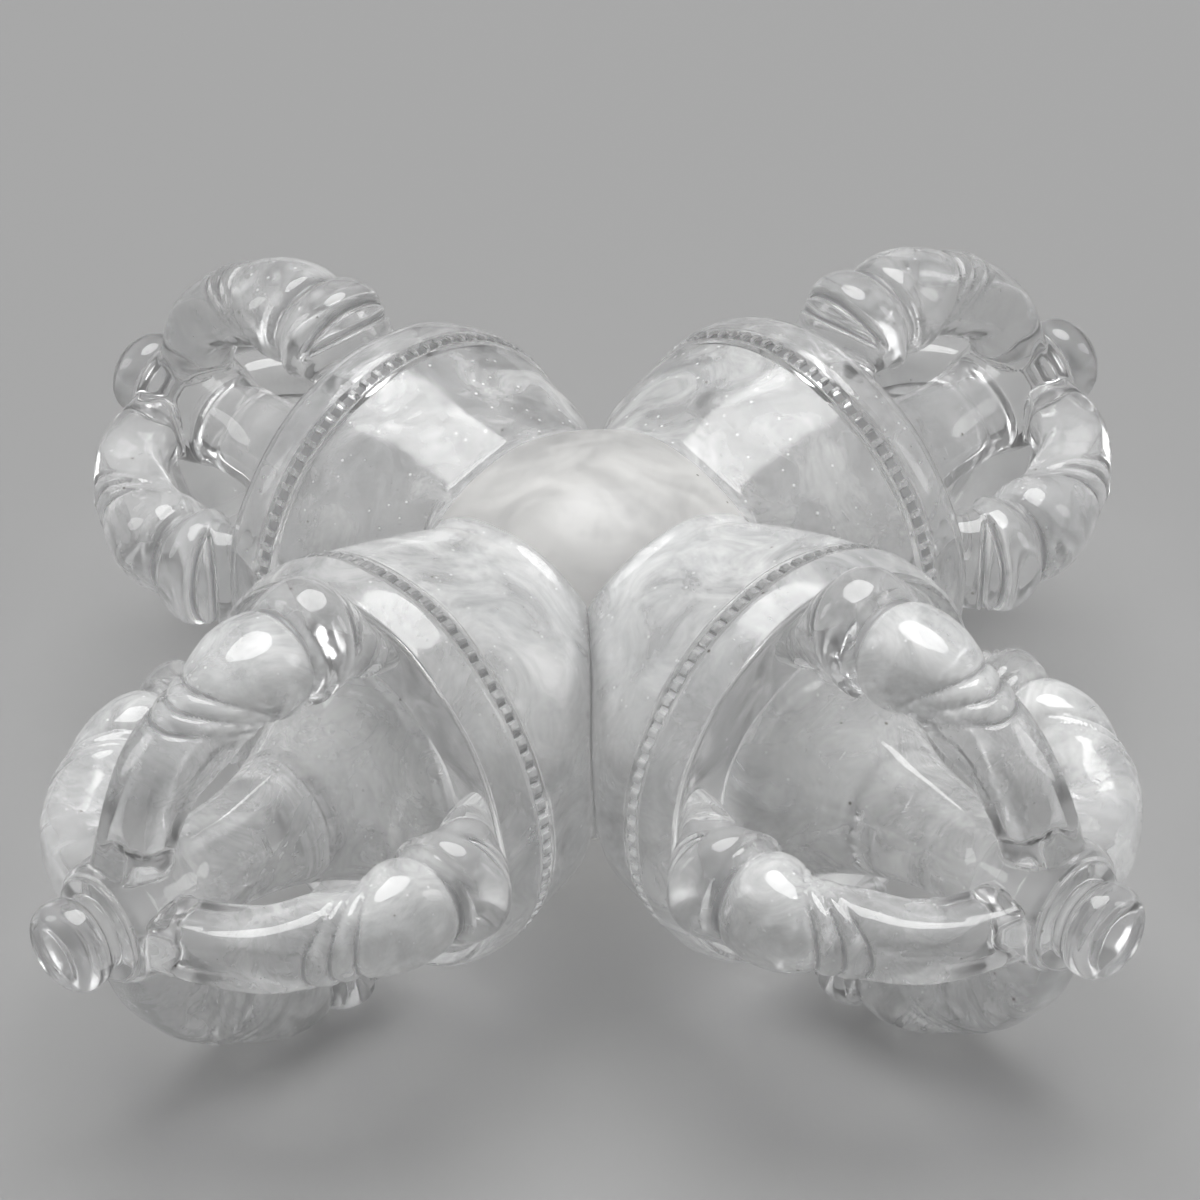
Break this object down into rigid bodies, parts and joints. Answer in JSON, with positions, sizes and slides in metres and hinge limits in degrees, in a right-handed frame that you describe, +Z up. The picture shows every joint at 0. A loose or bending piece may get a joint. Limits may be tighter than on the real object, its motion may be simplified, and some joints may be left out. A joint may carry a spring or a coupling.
{
  "type": "crossed vajra",
  "caption": "Double vajra in clear rock crystal: a round hub carries crossed heads, each with a bell, toothed rim, curved prongs round a spoke, and an end knob.",
  "frame": {"origin": "centre of the crossing, on the surface that the bottom prongs rest on", "axes": "+Z up; the heads lie along +X (east), +Y (north), -X (west) and -Y (south)"},
  "size_m": [0.12, 0.12, 0.0419],
  "materials": {
    "clear_crystal": "hand-polished clear quartz with faint veils",
    "milky_crystal": "hand-polished quartz, slightly milky"
  },
  "bodies": {
    "root": {"hub": "milky_crystal", "bell_east": "clear_crystal", "rim_band_east": "clear_crystal", "flange_east": "clear_crystal", "core_spoke_east": "clear_crystal", "tip_cap_east": "clear_crystal", "knob_east": "clear_crystal", "bell_north": "clear_crystal", "rim_band_north": "clear_crystal", "flange_north": "clear_crystal", "core_spoke_north": "clear_crystal", "tip_cap_north": "clear_crystal", "knob_north": "clear_crystal", "bell_west": "clear_crystal", "rim_band_west": "clear_crystal", "flange_west": "clear_crystal", "core_spoke_west": "clear_crystal", "tip_cap_west": "clear_crystal", "knob_west": "clear_crystal", "bell_south": "clear_crystal", "rim_band_south": "clear_crystal", "flange_south": "clear_crystal", "core_spoke_south": "clear_crystal", "tip_cap_south": "clear_crystal", "knob_south": "clear_crystal", "prong_east_top": "clear_crystal", "prong_east_right": "clear_crystal", "prong_east_bottom": "clear_crystal", "prong_east_left": "clear_crystal", "prong_north_top": "clear_crystal", "prong_north_right": "clear_crystal", "prong_north_bottom": "clear_crystal", "prong_north_left": "clear_crystal", "prong_west_top": "clear_crystal", "prong_west_right": "clear_crystal", "prong_west_bottom": "clear_crystal", "prong_west_left": "clear_crystal", "prong_south_top": "clear_crystal", "prong_south_right": "clear_crystal", "prong_south_bottom": "clear_crystal", "prong_south_left": "clear_crystal"}
  },
  "joints": []
}
